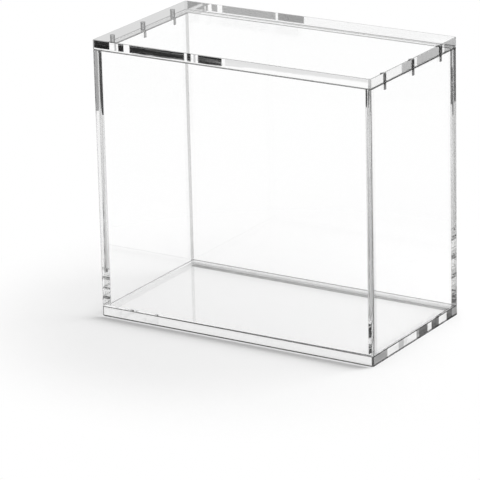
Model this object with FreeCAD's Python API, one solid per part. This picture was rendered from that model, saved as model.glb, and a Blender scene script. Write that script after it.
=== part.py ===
import FreeCAD, Part
import os

# A lidded display case of clear acrylic: a base plate, four cemented walls and a loose lid.
# Small rod magnets, sunk in the end walls' top edges and in the lid, hold the lid in place.
# Millimetres. The origin is the middle of the base's underside, X runs along the width,
# Y from front to back and Z up.

# Overall sizes, with the lid on
case_width = 206.0
case_depth = 112.0
case_height = 189.0

# Sheet thicknesses
base_thickness = 7.0
wall_thickness = 5.0
lid_thickness = 6.5

# Polished edges: rounded upright corners and a broken arris along each exposed edge
corner_radius = 1.5
arris = 0.4

# The film of air under the resting lid
lid_gap = 0.1

# Magnets, in a row along each end of the case, the outer ones set in from the front and the back
magnet_diameter = 3.0
magnet_length = 5.0
magnet_arris = 0.25
magnet_inset = 20.0
magnet_recess = 0.1
bore_clearance = 0.05
magnet_row = {"front": -1, "middle": 0, "rear": 1}
case_ends = {"left": -1, "right": 1}

# How far a cutting block stands past what it cuts, and how near a level an edge counts as on it
cut_overrun = 2.0
level_slack = 0.01

# What follows from the sizes above
half_width = case_width / 2
half_depth = case_depth / 2
inside_half_width = half_width - wall_thickness
inside_half_depth = half_depth - wall_thickness
lid_underside = case_height - lid_thickness
wall_top = lid_underside - lid_gap
magnet_offset = half_width - wall_thickness / 2
magnet_pitch = half_depth - magnet_inset
bore_radius = magnet_diameter / 2 + bore_clearance
bore_depth = magnet_recess + magnet_length


def block(x_span, y_span, z_span):
    corner = FreeCAD.Vector(x_span[0], y_span[0], z_span[0])
    return Part.makeBox(x_span[1] - x_span[0], y_span[1] - y_span[0], z_span[1] - z_span[0], corner)


def upright_edges(solid):
    height = solid.BoundBox.ZLength
    return [edge for edge in solid.Edges if edge.BoundBox.ZLength > height / 2]


def edges_at(solid, level):
    low = level - level_slack
    high = level + level_slack
    return [edge for edge in solid.Edges if edge.BoundBox.ZMin > low and edge.BoundBox.ZMax < high]


# A slab of the case's own outline, with its four upright corners rounded
def outline_slab(bottom, top):
    slab = block((-half_width, half_width), (-half_depth, half_depth), (bottom, top))
    return slab.makeFillet(corner_radius, upright_edges(slab))


# A sheet cut to the case's outline, with both its rims broken to an arris
def polished_plate(bottom, top):
    slab = outline_slab(bottom, top)
    return slab.makeChamfer(arris, edges_at(slab, bottom) + edges_at(slab, top))


# The four walls as they stand once cemented, with the open rim polished inside and out
def wall_ring():
    slab = outline_slab(base_thickness, wall_top)
    inside = block(
        (-inside_half_width, inside_half_width),
        (-inside_half_depth, inside_half_depth),
        (base_thickness - cut_overrun, wall_top + cut_overrun),
    )
    ring = slab.cut(inside)
    return ring.makeChamfer(arris, edges_at(ring, wall_top))


# The part of the wall ring that one sheet takes up
def panel(x_span, y_span):
    z_span = (base_thickness - cut_overrun, wall_top + cut_overrun)
    return wall_ring().common(block(x_span, y_span, z_span)).removeSplitter()


# The front and back sheets run the full width and cover the end sheets' edges
def long_panel(side):
    outside = side * (half_depth + cut_overrun)
    inside = side * inside_half_depth
    reach = half_width + cut_overrun
    return panel((-reach, reach), (min(outside, inside), max(outside, inside)))


# An end sheet stands between the long ones and is bored from above for its magnets
def end_panel(end):
    outside = end * (half_width + cut_overrun)
    inside = end * inside_half_width
    sheet = panel((min(outside, inside), max(outside, inside)), (-inside_half_depth, inside_half_depth))
    for place in magnet_row.values():
        sheet = sheet.cut(bore(end, place, wall_top, -1))
    return sheet


def magnet_axis(end, place, level):
    return FreeCAD.Vector(end * magnet_offset, place * magnet_pitch, level)


# A blind bore that opens at a level and goes up or down from it
def bore(end, place, mouth, way):
    start = magnet_axis(end, place, mouth - way * cut_overrun)
    return Part.makeCylinder(bore_radius, bore_depth + cut_overrun, start, FreeCAD.Vector(0, 0, way))


# A rod magnet that stands on the floor of its bore, just short of the mouth
def magnet(end, place, mouth, way):
    start = magnet_axis(end, place, mouth + way * magnet_recess)
    rod = Part.makeCylinder(magnet_diameter / 2, magnet_length, start, FreeCAD.Vector(0, 0, way))
    top = rod.BoundBox.ZMax
    bottom = rod.BoundBox.ZMin
    return rod.makeChamfer(magnet_arris, edges_at(rod, top) + edges_at(rod, bottom))


def base_plate():
    return polished_plate(0, base_thickness)


# The lid lies flush with the walls and is bored from below over the walls' magnets
def lid_plate():
    plate = polished_plate(lid_underside, case_height)
    for end in case_ends.values():
        for place in magnet_row.values():
            plate = plate.cut(bore(end, place, lid_underside, 1))
    return plate


def write(name, shape):
    shape.exportStep(os.path.join("parts", name + ".step"))
    print(name, "volume", round(shape.Volume, 1), "solids", len(shape.Solids), "valid", shape.isValid())


os.makedirs("parts", exist_ok=True)
write("base_plate", base_plate())
write("front_panel", long_panel(-1))
write("back_panel", long_panel(1))
write("lid_plate", lid_plate())
for end_name, end in case_ends.items():
    write(end_name + "_panel", end_panel(end))
    for place_name, place in magnet_row.items():
        seat = end_name + "_" + place_name
        write("wall_magnet_" + seat, magnet(end, place, wall_top, -1))
        write("lid_magnet_" + seat, magnet(end, place, lid_underside, 1))
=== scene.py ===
import bpy
import math
from mathutils import Matrix, Vector

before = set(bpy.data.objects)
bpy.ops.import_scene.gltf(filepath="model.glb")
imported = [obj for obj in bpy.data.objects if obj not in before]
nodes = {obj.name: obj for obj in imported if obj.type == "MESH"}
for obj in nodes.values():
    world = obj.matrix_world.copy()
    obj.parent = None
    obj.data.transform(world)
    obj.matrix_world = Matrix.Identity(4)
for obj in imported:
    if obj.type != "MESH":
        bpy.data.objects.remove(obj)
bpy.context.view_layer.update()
scene = bpy.context.scene
print("frame loaded:", len(nodes), "nodes")


# box of one CAD piece, in its own coordinates
def pieceBox(name):
    corners = nodes[name].bound_box
    low = [min(corner[axis] for corner in corners) for axis in range(3)]
    high = [max(corner[axis] for corner in corners) for axis in range(3)]
    return low, high


# sizes of the case, read off its pieces
halfWidth, halfDepth, baseTop = pieceBox("base_plate")[1]
endWallLow, endWallHigh = pieceBox("right_panel")
insideX = endWallLow[0]
insideY = pieceBox("back_panel")[0][1]
wallTop = endWallHigh[2]
lidLow, lidHigh = pieceBox("lid_plate")
lidUnderside = lidLow[2]
lidTop = lidHigh[2]
magnetLow, magnetHigh = pieceBox("wall_magnet_right_front")
magnetX = (magnetLow[0] + magnetHigh[0]) / 2
magnetRadius = (magnetHigh[0] - magnetLow[0]) / 2
print("case measured, half width and depth:", round(halfWidth, 4), round(halfDepth, 4))

# long light paths, because light runs the length of a sheet before it leaves an edge
lightPaths = {"total": 96, "glossy": 96, "transmission": 96, "transparent": 64, "diffuse": 3}
scene.view_settings.view_transform = "Standard"
scene.cycles.max_bounces = lightPaths["total"]
scene.cycles.glossy_bounces = lightPaths["glossy"]
scene.cycles.transmission_bounces = lightPaths["transmission"]
scene.cycles.transparent_max_bounces = lightPaths["transparent"]
scene.cycles.diffuse_bounces = lightPaths["diffuse"]

# camera, solved from the corners of the case
cameraView = {
    "place": (1.1225306, -1.8327133, 0.7723457),
    "yaw": 32.15,
    "pitch": 18.51,
    "roll": -1.42,
    "lens": 259.78,
    "sensor": 36.0,
}


def aimCamera(view):
    data = bpy.data.cameras.new("photoCamera")
    data.lens = view["lens"]
    data.sensor_width = view["sensor"]
    camera = bpy.data.objects.new("photoCamera", data)
    scene.collection.objects.link(camera)
    turn = Matrix.Rotation(math.radians(view["yaw"]), 3, "Z")
    tilt = Matrix.Rotation(math.radians(90 - view["pitch"]), 3, "X")
    roll = Matrix.Rotation(math.radians(view["roll"]), 3, "Z")
    camera.matrix_world = Matrix.Translation(Vector(view["place"])) @ (turn @ tilt @ roll).to_4x4()
    scene.camera = camera


aimCamera(cameraView)
print("camera aimed")


# node helpers
def addNode(tree, kind, **settings):
    node = tree.nodes.new("ShaderNode" + kind)
    for name, value in settings.items():
        setattr(node, name, value)
    return node


def plug(tree, socket, value):
    if isinstance(value, bpy.types.NodeSocket):
        tree.links.new(value, socket)
    else:
        socket.default_value = value


def calc(tree, operation, first, second=None):
    node = addNode(tree, "Math", operation=operation)
    plug(tree, node.inputs[0], first)
    if second is not None:
        plug(tree, node.inputs[1], second)
    return node.outputs[0]


def bothOf(tree, first, second):
    return calc(tree, "MULTIPLY", first, second)


def eitherOf(tree, first, second):
    return calc(tree, "MAXIMUM", first, second)


def opposite(tree, mask):
    return calc(tree, "SUBTRACT", 1.0, mask)


def above(tree, value, level):
    return calc(tree, "GREATER_THAN", value, level)


def below(tree, value, level):
    return calc(tree, "LESS_THAN", value, level)


def nearLevel(tree, value, level, slack):
    return below(tree, calc(tree, "ABSOLUTE", calc(tree, "SUBTRACT", value, level)), slack)


def ramp(tree, value, low, high, outLow=0.0, outHigh=1.0, smooth=True):
    node = addNode(tree, "MapRange")
    node.interpolation_type = "SMOOTHSTEP" if smooth else "LINEAR"
    plug(tree, node.inputs["Value"], value)
    plug(tree, node.inputs["From Min"], low)
    plug(tree, node.inputs["From Max"], high)
    plug(tree, node.inputs["To Min"], outLow)
    plug(tree, node.inputs["To Max"], outHigh)
    return node.outputs[0]


# one value where a mask is 0, another where it is 1
def pick(tree, mask, off, on):
    return ramp(tree, mask, 0.0, 1.0, off, on, smooth=False)


def stretchedNoise(tree, look):
    mapping = addNode(tree, "Mapping")
    mapping.inputs["Scale"].default_value = look["stretch"]
    tree.links.new(addNode(tree, "TexCoord").outputs["Object"], mapping.inputs["Vector"])
    noise = addNode(tree, "TexNoise")
    tree.links.new(mapping.outputs[0], noise.inputs["Vector"])
    noise.inputs["Scale"].default_value = look["scale"]
    noise.inputs["Detail"].default_value = look["detail"]
    noise.inputs["Roughness"].default_value = look["rough"]
    return noise.outputs["Fac"]


def noiseMask(tree, look, off=0.0, on=1.0):
    return ramp(tree, stretchedNoise(tree, look), look["low"], look["high"], off, on)


def raised(tree, height, strength, distance):
    node = addNode(tree, "Bump")
    node.inputs["Strength"].default_value = strength
    node.inputs["Distance"].default_value = distance
    tree.links.new(height, node.inputs["Height"])
    return node.outputs["Normal"]


def blendShaders(tree, share, first, second):
    node = addNode(tree, "MixShader")
    plug(tree, node.inputs[0], share)
    tree.links.new(first, node.inputs[1])
    tree.links.new(second, node.inputs[2])
    return node.outputs[0]


def grey(level):
    return (level, level, level, 1.0)


def seeThrough(tree, colour):
    node = addNode(tree, "BsdfTransparent")
    plug(tree, node.inputs["Color"], colour)
    return node.outputs[0]


# 0 where light meets a face head on, 1 where it meets it edge on
def turnedAway(tree):
    return addNode(tree, "LayerWeight").outputs["Facing"]


def newMaterial(name):
    material = bpy.data.materials.new(name)
    material.use_nodes = True
    material.node_tree.nodes.clear()
    return material, material.node_tree


def newGroup(name, inputs, outputs):
    group = bpy.data.node_groups.new(name, "ShaderNodeTree")
    for label in inputs:
        group.interface.new_socket(label, in_out="INPUT", socket_type="NodeSocketFloat")
    for label in outputs:
        group.interface.new_socket(label, in_out="OUTPUT", socket_type="NodeSocketFloat")
    start = group.nodes.new("NodeGroupInput")
    end = group.nodes.new("NodeGroupOutput")
    return group, start, end


def useGroup(tree, group, **values):
    node = tree.nodes.new("ShaderNodeGroup")
    node.node_tree = group
    for label, value in values.items():
        node.inputs[label].default_value = value
    return node


# handling marks shared by every sheet: hairline scratches and wiped smudges
handlingLook = {
    "smudge": {
        "stretch": (1, 1, 0.6), "scale": 38.0, "detail": 4.0, "rough": 0.6, "low": 0.56, "high": 0.80,
    },
    "hair": {
        "stretch": (900, 30, 30), "scale": 1.0, "detail": 2.0, "rough": 0.5, "low": 0.70, "high": 0.78,
    },
    "cross": {
        "stretch": (40, 700, 60), "scale": 1.0, "detail": 2.0, "rough": 0.5, "low": 0.71, "high": 0.79,
    },
}


def buildHandlingMarks(look):
    group, start, end = newGroup("handlingMarks", ["Smudge", "Scratch"], ["Roughness", "Height"])
    lines = eitherOf(group, noiseMask(group, look["hair"]), noiseMask(group, look["cross"]))
    smudgePart = bothOf(group, noiseMask(group, look["smudge"]), start.outputs["Smudge"])
    scratchPart = bothOf(group, lines, start.outputs["Scratch"])
    group.links.new(calc(group, "ADD", smudgePart, scratchPart), end.inputs["Roughness"])
    group.links.new(calc(group, "MULTIPLY", lines, -1.0), end.inputs["Height"])  # scratches go inward
    return group


# specks of air left in the cement between two sheets
cementLook = {
    "cells": 620.0,
    "patch": {"stretch": (1, 1, 1), "scale": 90.0, "detail": 2.0, "rough": 0.5},
}


def buildCementSpecks(look):
    group, start, end = newGroup("cementSpecks", ["Size", "Crowding"], ["Mask"])
    cells = addNode(group, "TexVoronoi", feature="F1")
    cells.inputs["Scale"].default_value = look["cells"]
    group.links.new(addNode(group, "TexCoord").outputs["Object"], cells.inputs["Vector"])
    speck = below(group, cells.outputs["Distance"], start.outputs["Size"])
    patch = above(group, stretchedNoise(group, look["patch"]), start.outputs["Crowding"])
    group.links.new(bothOf(group, speck, patch), end.inputs["Mask"])
    return group


# lengthwise ripple left by the buffing wheel on a cut edge
buffingLook = {
    "stretch": (45, 45, 900), "scale": 1.0, "detail": 2.0, "rough": 0.5, "low": 0.30, "high": 0.72,
}


def buildBuffing(look):
    group, start, end = newGroup("buffing", ["Low", "High"], ["Roughness", "Height"])
    ripple = stretchedNoise(group, look)
    rough = ramp(group, ripple, look["low"], look["high"], start.outputs["Low"], start.outputs["High"])
    group.links.new(rough, end.inputs["Roughness"])
    group.links.new(ripple, end.inputs["Height"])
    return group


handlingMarks = buildHandlingMarks(handlingLook)
cementSpecks = buildCementSpecks(cementLook)
buffing = buildBuffing(buffingLook)
print("shared effects built")


def addHandlingMarks(tree, shader, look):
    marks = useGroup(tree, handlingMarks, Smudge=look["smudge"], Scratch=look["scratch"])
    bump = raised(tree, marks.outputs["Height"], look["scratchBump"], look["scratchDeep"])
    tree.links.new(marks.outputs["Roughness"], shader.inputs["Roughness"])
    tree.links.new(bump, shader.inputs["Normal"])


def polishedEdge(tree, look):
    mirror = addNode(tree, "BsdfGlossy")
    mirror.inputs["Color"].default_value = grey(look["polish"])
    ripple = useGroup(tree, buffing, Low=look["buffLow"], High=look["buffHigh"])
    bump = raised(tree, ripple.outputs["Height"], look["buffBump"], look["buffDeep"])
    tree.links.new(ripple.outputs["Roughness"], mirror.inputs["Roughness"])
    tree.links.new(bump, mirror.inputs["Normal"])
    return mirror.outputs[0]


# total reflection darkens a magnet's bore towards its sides
def boreRing(tree, look):
    tones = (look["boreTone"], look["boreDark"])
    return ramp(tree, turnedAway(tree), look["boreStart"], look["boreEnd"], *tones)


# sheet acrylic of the four walls and the base: bent light inside, clear where two sheets are cemented
sheetAcrylic = {
    "bend": 1.49,
    "seamSlack": 0.0001,
    "lineEnds": 0.00035,  # half the height of the cement line, on the ends, the front and the back
    "lineFront": 0.00013,
    "lineRear": 0.00035,
    "footEnds": 0.0016,  # height of the painted contact shadow, a dark line where the base meets the table
    "footSides": 0.0010,
    "topLine": 0.0008,  # height of the painted shade, a dark line along the top of the end walls where the lid sits, together with the arris
    "topBand": 0.0024,  # level faces this near the walls' top are its polished rim
    "outerBand": 0.0005,  # faces this near the outside are outer ones
    "roundBand": 0.0013,  # faces this near the outside, both ways, are rounded corners
    "beadReach": 0.0004,  # width of the cement bead in an inside corner
    "boreSlack": 0.0002,  # the bores reach this far past the magnets
    "boreInset": 0.006,  # and lie this far inside the long walls
    "boreBand": 0.0124,  # and this near the walls' top
    "flat": 0.99,
    "slopeLow": 0.35,
    "slopeHigh": 0.93,
    "speckSize": 0.16,
    "speckCrowding": 0.62,
    "scratchBump": 0.05,
    "scratchDeep": 0.00002,
    "buffBump": 0.04,
    "buffDeep": 0.00002,
    "buffLow": 0.0,
    "buffHigh": 0.02,
    "clean": 1.0,
    "lineShade": 0.03,
    "faintShade": 0.60,
    "endShade": 0.55,  # painted shade on the back sheet's ends, greying the back right post
    "boreTone": 0.30,
    "boreDark": 0.01,
    "boreStart": 0.08,
    "boreEnd": 0.35,
    "cement": 0.95,
    "polish": 0.98,
    "cutGloss": 0.80,
    "soak": 0.0,
}
wallSheet = {
    **sheetAcrylic,
    "smudge": 0.020,
    "scratch": 0.012,
    "soakDensity": 0.3,
    "faceLamp": 0.97,
    "endLamp": 0.85,
    "sideLamp": 0.85,
    "seamLamp": 0.85,
}
baseSheet = {
    **sheetAcrylic,
    "smudge": 0.030,
    "scratch": 0.020,
    "soakDensity": 1.0,
    "faceLamp": 0.985,
    "endLamp": 0.80,
    "sideLamp": 0.12,
    "seamLamp": 0.85,
}


# place and normal of the surface, without their signs apart from the two that need them
def surfaceSpot(tree):
    place = addNode(tree, "SeparateXYZ")
    tree.links.new(addNode(tree, "TexCoord").outputs["Object"], place.inputs[0])
    normal = addNode(tree, "SeparateXYZ")
    tree.links.new(addNode(tree, "NewGeometry").outputs["True Normal"], normal.inputs[0])
    labels = ("x", "y", "z", "normalX", "normalY", "normalZ")
    parts = (*place.outputs, *normal.outputs)
    spot = {label: calc(tree, "ABSOLUTE", part) for label, part in zip(labels, parts)}
    spot["signedY"] = place.outputs[1]
    spot["signedNormalZ"] = normal.outputs[2]
    return spot


def cementMasks(tree, spot, look):
    level = above(tree, spot["normalZ"], look["flat"])
    facing = above(tree, spot["normalY"], look["flat"])
    pastX = above(tree, spot["x"], insideX)
    pastY = above(tree, spot["y"], insideY)
    onBase = nearLevel(tree, spot["z"], baseTop, look["seamSlack"])
    onEnd = nearLevel(tree, spot["y"], insideY, look["seamSlack"])
    footSeam = bothOf(tree, bothOf(tree, level, onBase), eitherOf(tree, pastX, pastY))
    endSeam = bothOf(tree, bothOf(tree, facing, onEnd), pastX)
    return footSeam, endSeam


def rearHalf(tree, spot):
    return above(tree, spot["signedY"], 0.0)


# sawn ends of the back sheet
def rearEndMask(tree, spot, look):
    facing = above(tree, spot["normalX"], look["flat"])
    pastY = above(tree, spot["y"], insideY)
    return bothOf(tree, bothOf(tree, facing, pastY), rearHalf(tree, spot))


# bores for the magnets, in the end walls
def boreMask(tree, spot, look):
    upright = below(tree, spot["normalZ"], look["slopeLow"])
    acrossX = nearLevel(tree, spot["x"], magnetX, magnetRadius + look["boreSlack"])
    acrossY = below(tree, spot["y"], insideY - look["boreInset"])
    nearTop = above(tree, spot["z"], wallTop - look["boreBand"])
    return bothOf(tree, bothOf(tree, upright, acrossX), bothOf(tree, acrossY, nearTop))


# rounded outer corners
def roundMask(tree, spot, look):
    outerX = above(tree, spot["x"], halfWidth - look["roundBand"])
    outerY = above(tree, spot["y"], halfDepth - look["roundBand"])
    return bothOf(tree, outerX, outerY)


# bead of cement in the inside corners
def beadMask(tree, spot, look):
    upright = below(tree, spot["normalZ"], look["slopeLow"])
    besideX = nearLevel(tree, spot["x"], insideX, look["beadReach"])
    besideY = nearLevel(tree, spot["y"], insideY, look["beadReach"])
    return bothOf(tree, upright, bothOf(tree, besideX, besideY))


# thin dark lines: the cement lines, which are dark joints, and painted shade at the arrises, the base's
# rounded corners, the foot as the contact shadow on the table, and the end walls' top under the lid
def lineMask(tree, spot, look):
    upright = below(tree, spot["normalZ"], look["slopeLow"])
    steep = above(tree, spot["normalZ"], look["slopeLow"])
    arris = bothOf(tree, steep, below(tree, spot["normalZ"], look["slopeHigh"]))
    onEnd = above(tree, spot["x"], halfWidth - look["outerBand"])
    onSide = above(tree, spot["y"], halfDepth - look["outerBand"])
    sideReach = pick(tree, rearHalf(tree, spot), look["lineFront"], look["lineRear"])
    lineReach = pick(tree, onEnd, sideReach, look["lineEnds"])
    onSeam = nearLevel(tree, spot["z"], baseTop, lineReach)
    seamLine = bothOf(tree, eitherOf(tree, onEnd, onSide), onSeam)
    footLine = below(tree, spot["z"], pick(tree, onEnd, look["footSides"], look["footEnds"]))
    endFace = above(tree, spot["normalX"], look["flat"])
    topLine = bothOf(tree, endFace, above(tree, spot["z"], wallTop - look["topLine"]))
    level = bothOf(tree, upright, eitherOf(tree, eitherOf(tree, seamLine, footLine), topLine))
    corner = bothOf(tree, roundMask(tree, spot, look), below(tree, spot["z"], baseTop))
    return eitherOf(tree, eitherOf(tree, arris, corner), level)


# the polished faces: all round the base, and the tops of the walls
def cutMask(tree, spot, look, isBase):
    if isBase:
        return below(tree, spot["normalZ"], look["slopeLow"])
    level = above(tree, spot["normalZ"], look["flat"])
    return bothOf(tree, level, above(tree, spot["z"], wallTop - look["topBand"]))


def makeSheetAcrylic(name, look, isBase):
    material, tree = newMaterial(name)
    output = addNode(tree, "OutputMaterial")
    spot = surfaceSpot(tree)
    footSeam, endSeam = cementMasks(tree, spot, look)
    seam = eitherOf(tree, footSeam, endSeam)
    line = lineMask(tree, spot, look)
    faint = eitherOf(tree, roundMask(tree, spot, look), beadMask(tree, spot, look))
    cut = cutMask(tree, spot, look, isBase)
    acrylic = addNode(tree, "BsdfPrincipled")
    acrylic.inputs["IOR"].default_value = look["bend"]
    acrylic.inputs["Transmission Weight"].default_value = 1.0
    # base colour, taken on by light passing through: painted shade on the back sheet's ends, the rounded
    # corners, the bores' sides, the arrises and the foot; the cement lines and beads are real dark joints
    shade = pick(tree, rearEndMask(tree, spot, look), look["clean"], look["endShade"])
    shade = pick(tree, faint, shade, look["faintShade"])
    shade = pick(tree, boreMask(tree, spot, look), shade, boreRing(tree, look))
    tree.links.new(pick(tree, line, shade, look["lineShade"]), acrylic.inputs["Base Color"])
    specks = useGroup(tree, cementSpecks, Size=look["speckSize"], Crowding=look["speckCrowding"])
    filled = bothOf(tree, seam, opposite(tree, specks.outputs["Mask"]))
    tree.links.new(opposite(tree, filled), acrylic.inputs["Alpha"])
    addHandlingMarks(tree, acrylic, look)
    # outside, a cut edge is polished and mirrors the table
    outside = opposite(tree, addNode(tree, "NewGeometry").outputs["Backfacing"])
    shine = bothOf(tree, opposite(tree, line), look["cutGloss"])
    gloss = bothOf(tree, bothOf(tree, cut, outside), shine)
    body = blendShaders(tree, gloss, acrylic.outputs[0], polishedEdge(tree, look))
    body = blendShaders(tree, endSeam, body, seeThrough(tree, grey(look["cement"])))
    # lamps shine through, less so at the edges
    onSide = above(tree, spot["normalY"], look["flat"])
    edgeLamp = pick(tree, onSide, look["endLamp"], look["sideLamp"])
    openLamp = pick(tree, cut, look["faceLamp"], edgeLamp)
    lampsThrough = seeThrough(tree, pick(tree, seam, openLamp, look["seamLamp"]))
    rays = addNode(tree, "LightPath")
    body = blendShaders(tree, rays.outputs["Is Diffuse Ray"], body, lampsThrough)
    body = blendShaders(tree, rays.outputs["Is Shadow Ray"], body, lampsThrough)
    tree.links.new(body, output.inputs["Surface"])
    soak = addNode(tree, "VolumeAbsorption")  # long paths inside a sheet come out grey
    soak.inputs["Color"].default_value = grey(look["soak"])
    soak.inputs["Density"].default_value = look["soakDensity"]
    tree.links.new(soak.outputs[0], output.inputs["Volume"])
    return material


wallAcrylic = makeSheetAcrylic("wallAcrylic", wallSheet, False)
baseAcrylic = makeSheetAcrylic("baseAcrylic", baseSheet, True)

# lid acrylic: clear faces, with the cut edges polished so that they mirror the room
lidSheet = {
    "tint": (0.996, 0.997, 0.997, 1.0),
    "bend": 1.49,
    "rimBandX": 0.0009,  # faces this near the outside are the lid's rim
    "rimBandY": 0.0014,
    "cornerBand": 0.0014,
    "upright": 0.9,
    "longTilt": 0.5,
    "lowerTilt": -0.4,
    "upperTilt": 0.4,
    "cornerGrey": 0.55,
    "lowerGrey": 0.20,
    "upperGrey": 0.55,
    "shortGrey": 0.62,
    "shortTint": 0.86,
    "faceOn": 0.04,
    "grazePower": 5.0,
    "longOut": 0.985,
    "longIn": 0.90,
    "shortOut": 0.36,
    "streak": 0.22,
    "streakNoise": {
        "stretch": (14, 14, 620), "scale": 1.0, "detail": 3.0, "rough": 0.6, "low": 0.47, "high": 0.66,
    },
    "polish": 0.98,
    "shine": 1.0,
    "lampShade": 0.98,
    "boreFlat": 0.5,
    "boreTone": 1.0,
    "boreDark": 0.01,
    "boreStart": 0.06,
    "boreEnd": 0.30,
    "smudge": 0.030,
    "scratch": 0.020,
    "scratchBump": 0.05,
    "scratchDeep": 0.00002,
    "buffLow": 0.0,
    "buffHigh": 0.02,
    "buffBump": 0.04,
    "buffDeep": 0.00002,
}


def makeLidAcrylic(name, look):
    material, tree = newMaterial(name)
    output = addNode(tree, "OutputMaterial")
    spot = surfaceSpot(tree)
    behind = addNode(tree, "NewGeometry").outputs["Backfacing"]
    rimX = above(tree, spot["x"], halfWidth - look["rimBandX"])
    rimY = above(tree, spot["y"], halfDepth - look["rimBandY"])
    atRim = eitherOf(tree, rimX, rimY)
    edge = bothOf(tree, atRim, below(tree, spot["normalZ"], look["upright"]))
    # clear faces, glossier at a low angle
    clear = seeThrough(tree, look["tint"])
    grazing = calc(tree, "POWER", turnedAway(tree), look["grazePower"])
    gloss = bothOf(tree, opposite(tree, behind), pick(tree, grazing, look["faceOn"], 1.0))
    shine = addNode(tree, "BsdfGlossy")
    shine.inputs["Color"].default_value = grey(look["shine"])
    addHandlingMarks(tree, shine, look)
    face = blendShaders(tree, gloss, clear, shine.outputs[0])
    # long edges mirror the table, with lengthwise polish streaks
    mirror = polishedEdge(tree, look)
    streak = bothOf(tree, noiseMask(tree, look["streakNoise"]), pick(tree, behind, look["streak"], 0.0))
    longShare = calc(tree, "SUBTRACT", pick(tree, behind, look["longOut"], look["longIn"]), streak)
    longSide = blendShaders(tree, longShare, clear, mirror)
    # short edges bend the light from outside, so that the magnets line up, and carry a painted grey shade
    # from inside
    bent = addNode(tree, "BsdfGlass")
    bent.inputs["Color"].default_value = grey(look["shortTint"])
    bent.inputs["Roughness"].default_value = 0.0
    bent.inputs["IOR"].default_value = look["bend"]
    shortSide = blendShaders(tree, look["shortOut"], bent.outputs[0], mirror)
    shortSide = blendShaders(tree, behind, shortSide, seeThrough(tree, grey(look["shortGrey"])))
    longEdge = above(tree, spot["normalY"], look["longTilt"])
    rim = blendShaders(tree, longEdge, shortSide, longSide)
    # painted shade: the rounded corners and the arrises tinted grey, darkest on the lower arris above the
    # walls
    cornerX = above(tree, spot["x"], halfWidth - look["cornerBand"])
    cornerY = above(tree, spot["y"], halfDepth - look["cornerBand"])
    outwardZ = bothOf(tree, spot["signedNormalZ"], pick(tree, behind, 1.0, -1.0))
    greyParts = {
        "cornerGrey": bothOf(tree, cornerX, cornerY),
        "lowerGrey": below(tree, outwardZ, look["lowerTilt"]),
        "upperGrey": above(tree, outwardZ, look["upperTilt"]),
    }
    for shade, mask in greyParts.items():
        rim = blendShaders(tree, mask, rim, seeThrough(tree, grey(look[shade])))
    sheet = blendShaders(tree, edge, face, rim)
    bore = bothOf(tree, opposite(tree, atRim), below(tree, spot["normalZ"], look["boreFlat"]))
    sheet = blendShaders(tree, bore, sheet, seeThrough(tree, boreRing(tree, look)))
    lampsThrough = seeThrough(tree, grey(look["lampShade"]))
    sheet = blendShaders(tree, addNode(tree, "LightPath").outputs["Is Shadow Ray"], sheet, lampsThrough)
    tree.links.new(sheet, output.inputs["Surface"])
    return material


lidAcrylic = makeLidAcrylic("lidAcrylic", lidSheet)

# nickel plating on the rod magnets, clouded and with turned lines round the rod
magnetPlating = {
    "cloud": {
        "stretch": (1, 1, 1), "scale": 420.0, "detail": 3.0, "rough": 0.55, "low": 0.32, "high": 0.70,
    },
    "grain": {
        "stretch": (160, 160, 3200), "scale": 1.0, "detail": 2.0, "rough": 0.5, "low": 0.30, "high": 0.72,
    },
    "dull": 0.30,
    "bright": 0.42,
    "smooth": 0.22,
    "worn": 0.40,
    "grainBump": 0.15,
    "grainDeep": 0.00003,
}


def makeMagnetNickel(name, look):
    material, tree = newMaterial(name)
    output = addNode(tree, "OutputMaterial")
    nickel = addNode(tree, "BsdfPrincipled")
    nickel.inputs["Metallic"].default_value = 1.0
    colour = noiseMask(tree, look["cloud"], look["dull"], look["bright"])
    grain = stretchedNoise(tree, look["grain"])
    rough = ramp(tree, grain, look["grain"]["low"], look["grain"]["high"], look["smooth"], look["worn"])
    tree.links.new(colour, nickel.inputs["Base Color"])
    tree.links.new(rough, nickel.inputs["Roughness"])
    tree.links.new(raised(tree, grain, look["grainBump"], look["grainDeep"]), nickel.inputs["Normal"])
    tree.links.new(nickel.outputs[0], output.inputs["Surface"])
    return material


magnetNickel = makeMagnetNickel("magnetNickel", magnetPlating)


def finishFor(name):
    if "magnet" in name:
        return magnetNickel
    return {"lid_plate": lidAcrylic, "base_plate": baseAcrylic}.get(name, wallAcrylic)


for nodeName, nodeObject in nodes.items():
    nodeObject.data.materials.clear()
    nodeObject.data.materials.append(finishFor(nodeName))
print("finishes assigned")

# studio: white floor that keeps the shadow near the case, a soft lamp and a white sky
studio = {
    "floorDrop": 0.0003,
    "floorSize": 40.0,
    "floorTone": 0.97,
    "fadeStart": 0.12,
    "fadeEnd": 0.23,
    "skyTone": 1.0,
    "skyLevel": 0.59,
    "keyLamp": {"place": (1.35, 1.25, 1.05), "target": (0, 0, 0.1), "size": (1.2, 1.2), "watts": 42.0},
}
halfStep = 0.5  # bounces are counted in whole steps, so half a step parts one count from the next


# light that shows the white background: straight, mirrored or bent, but not scattered
def seenRays(tree):
    rays = addNode(tree, "LightPath").outputs
    bounced = eitherOf(tree, rays["Is Glossy Ray"], rays["Is Transmission Ray"])
    straight = below(tree, rays["Diffuse Depth"], halfStep)
    return bothOf(tree, eitherOf(tree, rays["Is Camera Ray"], bounced), straight)


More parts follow.
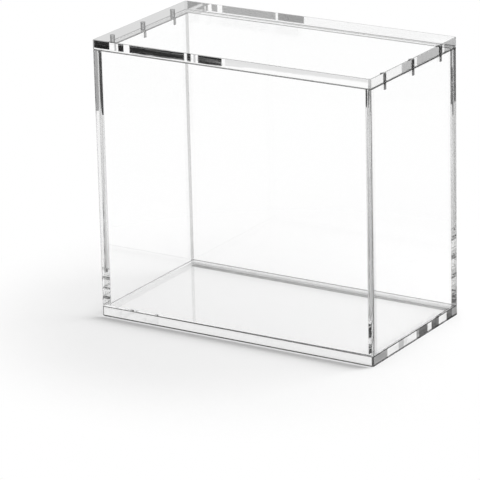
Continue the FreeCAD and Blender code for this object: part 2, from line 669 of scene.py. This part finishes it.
def layFloor(look):
    bpy.ops.object.select_all(action="DESELECT")
    bpy.ops.mesh.primitive_plane_add(size=look["floorSize"], location=(0, 0, -look["floorDrop"]))
    floor = bpy.context.object
    floor.name = "studioFloor"
    material, tree = newMaterial("studioFloor")
    output = addNode(tree, "OutputMaterial")
    lit = addNode(tree, "BsdfDiffuse")
    lit.inputs["Color"].default_value = grey(look["floorTone"])
    glow = addNode(tree, "Emission")
    reach = addNode(tree, "VectorMath", operation="LENGTH")
    tree.links.new(addNode(tree, "TexCoord").outputs["Object"], reach.inputs[0])
    far = ramp(tree, reach.outputs["Value"], look["fadeStart"], look["fadeEnd"])
    share = bothOf(tree, seenRays(tree), far)
    tree.links.new(blendShaders(tree, share, lit.outputs[0], glow.outputs[0]), output.inputs["Surface"])
    floor.data.materials.append(material)


def hangSky(look):
    world = bpy.data.worlds.new("studioSky")
    scene.world = world
    world.use_nodes = True
    tree = world.node_tree
    tree.nodes.clear()
    output = addNode(tree, "OutputWorld")
    seen = addNode(tree, "Background")
    seen.inputs["Color"].default_value = grey(look["skyTone"])
    lighting = addNode(tree, "Background")
    lighting.inputs["Color"].default_value = grey(look["skyTone"])
    lighting.inputs["Strength"].default_value = look["skyLevel"]
    both = blendShaders(tree, seenRays(tree), lighting.outputs[0], seen.outputs[0])
    tree.links.new(both, output.inputs["Surface"])


def hangLamp(name, look):
    data = bpy.data.lights.new(name, "AREA")
    data.shape = "RECTANGLE"
    data.size, data.size_y = look["size"]
    data.energy = look["watts"]
    lamp = bpy.data.objects.new(name, data)
    lamp.location = look["place"]
    aim = Vector(look["target"]) - Vector(look["place"])
    lamp.rotation_euler = aim.to_track_quat("-Z", "Y").to_euler()
    lamp.visible_glossy = False
    lamp.visible_transmission = False
    scene.collection.objects.link(lamp)


layFloor(studio)
hangSky(studio)
hangLamp("keyLamp", studio["keyLamp"])
print("floor, sky and lamp set")

# painted reflections: glowing papers for the edges to mirror; a paper shows only to light that has been
# mirrored that many times,
# and passed through the lid that many times, so the clear sheets never show it
paperLooks = {
    "black": {"level": 0.012, "bounces": 1, "throughLid": 0},
    "dark": {"level": 0.10, "bounces": 1, "throughLid": 0},
    "grey": {"level": 0.55, "bounces": 1, "throughLid": 0},
    "middle": {"level": 0.33, "bounces": 1, "throughLid": 0},
    "pale": {"level": 0.78, "bounces": 1, "throughLid": 0},
    "palePlain": {"level": 0.86, "bounces": 1, "throughLid": 0},
    "deep": {"level": 0.012, "bounces": 2, "throughLid": 0},
    "deepGrey": {"level": 0.38, "bounces": 2, "throughLid": 0},
    "trapped": {"level": 0.012, "bounces": 5, "throughLid": 0},
    "rearBlack": {"level": 0.012, "bounces": 1, "throughLid": 1},
}


def makePaper(name, look):
    material, tree = newMaterial("paper" + name[0].upper() + name[1:])
    output = addNode(tree, "OutputMaterial")
    paper = addNode(tree, "Emission")
    paper.inputs["Color"].default_value = grey(look["level"])
    gone = addNode(tree, "BsdfTransparent")
    rays = addNode(tree, "LightPath").outputs
    mirrored = above(tree, rays["Glossy Depth"], look["bounces"] - halfStep)
    passed = above(tree, rays["Transparent Depth"], look["throughLid"] - halfStep)
    shown = bothOf(tree, mirrored, passed)
    tree.links.new(blendShaders(tree, shown, gone.outputs[0], paper.outputs[0]), output.inputs["Surface"])
    return material


papers = {paperName: makePaper(paperName, paperLook) for paperName, paperLook in paperLooks.items()}


def placeCard(name, corners, material):
    bpy.ops.object.select_all(action="DESELECT")
    bpy.ops.mesh.primitive_plane_add(size=1.0)
    card = bpy.context.object
    card.name = name
    ring = [card.data.vertices[index] for index in card.data.polygons[0].vertices]
    for vertex, corner in zip(ring, corners):
        vertex.co = corner
    card.data.update()
    card.data.materials.append(material)
    card.visible_camera = False
    card.visible_diffuse = False
    card.visible_shadow = False


# painted reflection: a dark flag behind the case that only light trapped in the posts meets, angles in
# degrees
backFlag = {
    "azimuth": 114,
    "spread": 12,
    "low": 3,
    "high": 20,
    "distance": 1.2,
    "eye": 0.09,
    "paper": "trapped",
}


def standFlag(name, look):
    angle = math.radians(look["azimuth"])
    distance = look["distance"]
    middle = Vector((math.cos(angle), math.sin(angle), 0)) * distance
    side = Vector((-math.sin(angle), math.cos(angle), 0)) * distance * math.tan(math.radians(look["spread"]))
    foot = Vector((0, 0, look["eye"] + distance * math.tan(math.radians(look["low"]))))
    head = Vector((0, 0, look["eye"] + distance * math.tan(math.radians(look["high"]))))
    corners = [middle - side + foot, middle + side + foot, middle + side + head, middle - side + head]
    placeCard(name, corners, papers[look["paper"]])


standFlag("flagBack", backFlag)

# painted reflections: strips of paper on the table, each laid where the camera meets it in a polished edge of
# the lid or the base;
# each has its start and end as shares of the edge, its paper and, where it slants, its two low heights
stripHeight = 0.0005
edgeStrips = {
    "front": {
        "across": "y", "plane": -halfDepth, "half": halfWidth,
        "low": lidUnderside + 0.0007, "high": lidTop + 0.016,
        "strips": [
            (0.000, 0.065, "black"), (0.084, 0.091, "grey"), (0.098, 0.118, "black"), (0.140, 0.342, "black"),
            (0.352, 0.366, "black"), (0.376, 0.383, "grey"), (0.392, 0.478, "black"),
            (0.490, 0.640, "pale", lidUnderside + 0.0013, lidUnderside + 0.0025),
            (0.640, 1.010, "pale", lidUnderside + 0.0025, lidUnderside + 0.0037),
        ],
    },
    "rear": {
        "across": "y", "plane": halfDepth, "half": halfWidth,
        "low": lidUnderside - 0.0065, "high": lidTop + 0.0015,
        "strips": [
            (0.000, 0.063, "rearBlack"), (0.089, 0.111, "rearBlack"), (0.130, 0.330, "rearBlack"),
            (0.356, 0.452, "rearBlack"),
        ],
    },
    "right": {
        "across": "x", "plane": halfWidth, "half": halfDepth,
        "low": lidUnderside - 0.002, "high": lidTop + 0.006,
        "strips": [
            (0.148, 0.180, "dark"), (0.356, 0.500, "black"), (0.530, 0.830, "black"), (0.850, 1.000, "black"),
        ],
    },
    "baseFront": {
        "across": "y", "plane": -halfDepth, "half": halfWidth,
        "low": 0.0, "high": baseTop + 0.0004,
        "strips": [(-0.02, 1.02, "palePlain")],
    },
    "baseRight": {
        "across": "x", "plane": halfWidth, "half": halfDepth,
        "low": 0.0, "high": baseTop + 0.0004,
        "strips": [
            (0.000, 0.160, "middle"), (0.290, 0.350, "grey"), (0.350, 0.390, "palePlain"),
            (0.500, 0.532, "middle"), (0.532, 0.632, "dark"), (0.680, 0.768, "dark"), (0.862, 0.930, "dark"),
            (0.930, 1.010, "middle"),
        ],
    },
}


# the spot on the table that the camera sees mirrored at a height of an edge
def tableSpot(look, share, height):
    eye = Vector(cameraView["place"])
    along = look["half"] * (2 * share - 1)
    if look["across"] == "y":
        mirrored = Vector((eye.x, 2 * look["plane"] - eye.y, eye.z))
        point = Vector((along, look["plane"], height))
    else:
        mirrored = Vector((2 * look["plane"] - eye.x, eye.y, eye.z))
        point = Vector((look["plane"], along, height))
    spot = mirrored + (point - mirrored) * (mirrored.z / (mirrored.z - point.z))
    return (spot.x, spot.y, stripHeight)


def layStrip(name, look, start, end, paper, startLow, endLow):
    corners = [
        tableSpot(look, start, startLow),
        tableSpot(look, end, endLow),
        tableSpot(look, end, look["high"]),
        tableSpot(look, start, look["high"]),
    ]
    placeCard(name, corners, papers[paper])


for edgeName, edgeLook in edgeStrips.items():
    for number, strip in enumerate(edgeLook["strips"], 1):
        lows = strip[3:] or (edgeLook["low"], edgeLook["low"])
        layStrip(edgeName + "Strip" + str(number), edgeLook, *strip[:3], *lows)

# painted reflections: mats that only light trapped in the corner posts meets, each a sector of the table,
# angles in degrees
matHeight = 0.0001
postMats = {
    "backMat": {"from": 105, "to": 140, "near": 0.52, "far": 0.76, "paper": "deep"},
    "backRightMat": {"from": 48, "to": 72, "near": 0.41, "far": 0.80, "paper": "deepGrey"},
    "farMat": {"from": 75, "to": 104, "near": 0.45, "far": 0.80, "paper": "deep"},
    "leftMat": {"from": 200, "to": 220, "near": 0.36, "far": 0.55, "paper": "deep"},
    "frontLeftMat": {"from": 220, "to": 240, "near": 0.36, "far": 0.55, "paper": "deep"},
    "leftBackMat": {"from": 140, "to": 158, "near": 0.42, "far": 0.56, "paper": "deep"},
}


def matCorner(azimuth, reach):
    angle = math.radians(azimuth)
    return (reach * math.cos(angle), reach * math.sin(angle), matHeight)


def layMat(name, look):
    corners = [
        matCorner(look["from"], look["near"]),
        matCorner(look["to"], look["near"]),
        matCorner(look["to"], look["far"]),
        matCorner(look["from"], look["far"]),
    ]
    placeCard(name, corners, papers[look["paper"]])


for matName, matLook in postMats.items():
    layMat(matName, matLook)

# painted shadow of the back wall's foot: a film under the base, along the foot of the back wall, clear from
# above and grey at a low angle
wallShade = {
    "height": -0.00015,
    "front": 0.004,  # how far the painted shadow reaches in front of the wall's inner face, and under the wall
    "under": 0.0005,
    "endInset": 0.0005,
    "joinX": 0.041,  # where the second, darker painted shadow starts
    "tints": [0.27, 0.05],
    "clearFrom": 0.36,
    "greyFrom": 0.66,
}


# the painted shadow shows only straight through the base
def makePaintedShadow(name, look, tint):
    material, tree = newMaterial(name)
    output = addNode(tree, "OutputMaterial")
    straight = below(tree, addNode(tree, "LightPath").outputs["Glossy Depth"], halfStep)
    grazing = ramp(tree, turnedAway(tree), look["clearFrom"], look["greyFrom"])
    shown = bothOf(tree, straight, grazing)
    tree.links.new(seeThrough(tree, pick(tree, shown, 1.0, tint)), output.inputs["Surface"])
    return material


def layPaintedShadows(look):
    near = insideY - look["front"]
    far = insideY + look["under"]
    height = look["height"]
    ends = [look["endInset"] - insideX, look["joinX"], insideX - look["endInset"]]
    for number, tint in enumerate(look["tints"]):
        fromX, toX = ends[number:number + 2]
        corners = [(fromX, near, height), (toX, near, height), (toX, far, height), (fromX, far, height)]
        paintedShadow = makePaintedShadow("paintedWallShadow" + str(number + 1), look, tint)
        placeCard("wallShade" + str(number + 1), corners, paintedShadow)


layPaintedShadows(wallShade)
print("studio set")
